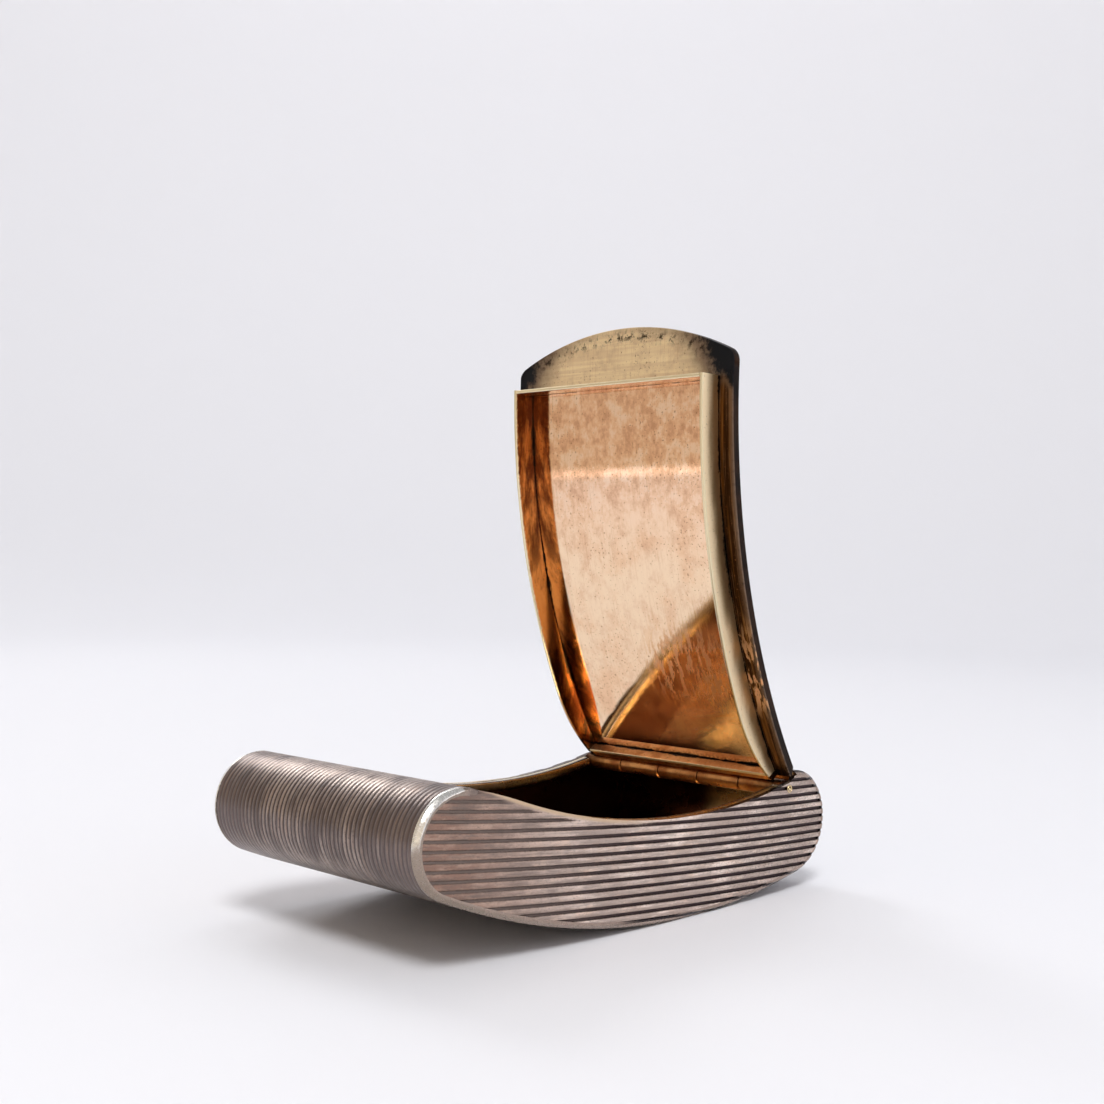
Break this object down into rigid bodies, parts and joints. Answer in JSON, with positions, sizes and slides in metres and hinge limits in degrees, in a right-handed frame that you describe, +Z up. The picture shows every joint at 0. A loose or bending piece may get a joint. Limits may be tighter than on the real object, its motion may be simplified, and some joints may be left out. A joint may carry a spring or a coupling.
{
  "type": "snuff box",
  "caption": "Curved pocket snuff box with rounded ends, reeded sides and a hinged lid that carries a friction-fit bezel and a bowed thumb lip.",
  "frame": {"origin": "middle of the flat on the curved bottom that the box rests on, with its lid open", "axes": "+X from the thumb lip to the hinge, +Y across the width to the left side, +Z up"},
  "size_m": [0.08, 0.0402, 0.0802],
  "materials": {
    "reeded_silver": "oxidised silver, satin",
    "plain_silver": "worn bright silver",
    "bright_gilt": "polished gilt, rubbed",
    "dark_gilt": "tarnished gilt"
  },
  "bodies": {
    "box": {"body_band": "reeded_silver", "side_plate_right": "reeded_silver", "side_plate_left": "reeded_silver", "border_wire_right": "plain_silver", "border_wire_left": "plain_silver", "rim_rail_right": "bright_gilt", "rim_rail_left": "bright_gilt", "rim_rail_front": "bright_gilt", "hinge_bearer": "dark_gilt", "body_knuckle_1": "dark_gilt", "body_knuckle_3": "dark_gilt", "body_knuckle_5": "dark_gilt", "hinge_pin": "plain_silver", "pin_plug_right": "bright_gilt", "pin_plug_left": "bright_gilt"},
    "lid": {"lid_plate": "bright_gilt", "bezel_right": "bright_gilt", "bezel_left": "bright_gilt", "bezel_front": "bright_gilt", "bezel_rear": "dark_gilt", "lid_hinge_rail": "dark_gilt", "lid_knuckle_2": "dark_gilt", "lid_knuckle_4": "dark_gilt"}
  },
  "joints": [
    {"name": "lid_hinge", "type": "hinge", "parent": "box", "child": "lid", "pos_m": [0.02163, 0, 0.01524], "axis": [0, 1, 0], "range_deg": [-68.2, 16]}
  ]
}
